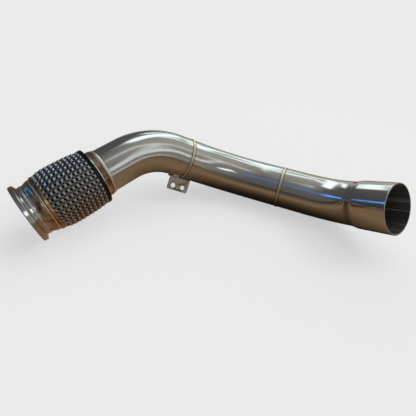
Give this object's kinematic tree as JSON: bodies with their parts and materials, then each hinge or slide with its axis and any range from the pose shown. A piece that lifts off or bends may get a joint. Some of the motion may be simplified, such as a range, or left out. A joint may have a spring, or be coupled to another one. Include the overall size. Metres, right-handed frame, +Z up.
{
  "type": "turbo downpipe",
  "caption": "Bent stainless exhaust downpipe with a V-band inlet flange, a braided flexible coupling, a welded bracket and an expanded slip-fit outlet.",
  "frame": {"origin": "centre of the inlet flange's face, which the locating step is turned about", "axes": "+Z up as the pipe lies at rest, +X along its longest side from the inlet to the outlet, the gas flowing towards +X"},
  "size_m": [0.6214, 0.2321, 0.1305],
  "materials": {
    "turned_steel": "turned and heat-tinted stainless",
    "tinted_steel": "stainless with a straw heat tint",
    "cap_steel": "rolled stainless sheet",
    "braid_wire": "woven bright stainless wire",
    "bellows_sheet": "bright thin stainless sheet",
    "brushed_tube": "polished tube with a fine grain along it",
    "plain_plate": "dull unpolished sheet steel",
    "weld_bead": "rippled bead with a straw tint"
  },
  "bodies": {
    "pipe": {"outlet_cap": "cap_steel", "cap_weld": "weld_bead", "outlet_collar": "tinted_steel", "collar_weld": "weld_bead", "elbow": "brushed_tube", "elbow_weld": "weld_bead", "mid_tube": "brushed_tube", "outlet_weld": "weld_bead", "outlet_tube": "brushed_tube", "bracket": "plain_plate", "bracket_weld_front": "plain_plate", "bracket_weld_back": "plain_plate"},
    "flex": {"braid": "braid_wire", "bellows": "bellows_sheet", "liner": "bellows_sheet"},
    "inlet": {"inlet_flange": "turned_steel", "flange_weld": "weld_bead", "inlet_neck": "tinted_steel", "neck_weld": "weld_bead", "inlet_cap": "cap_steel"}
  },
  "joints": [
    {"name": "flex_bend_side", "type": "hinge", "parent": "pipe", "child": "flex", "pos_m": [0.05156, 0.04482, 0.01741], "axis": [-0.1876, -0.1607, 0.969], "range_deg": [-6, 6], "stiffness_Nm_per_rad": 180, "deforming": ["braid", "bellows", "liner"]},
    {"name": "flex_bend_up", "type": "hinge", "parent": "flex", "child": "inlet", "pos_m": [0.05156, 0.04482, 0.01741], "axis": [0.6557, -0.755, 0.0017], "range_deg": [-6, 6], "stiffness_Nm_per_rad": 180, "deforming": ["braid", "bellows", "liner"]}
  ]
}
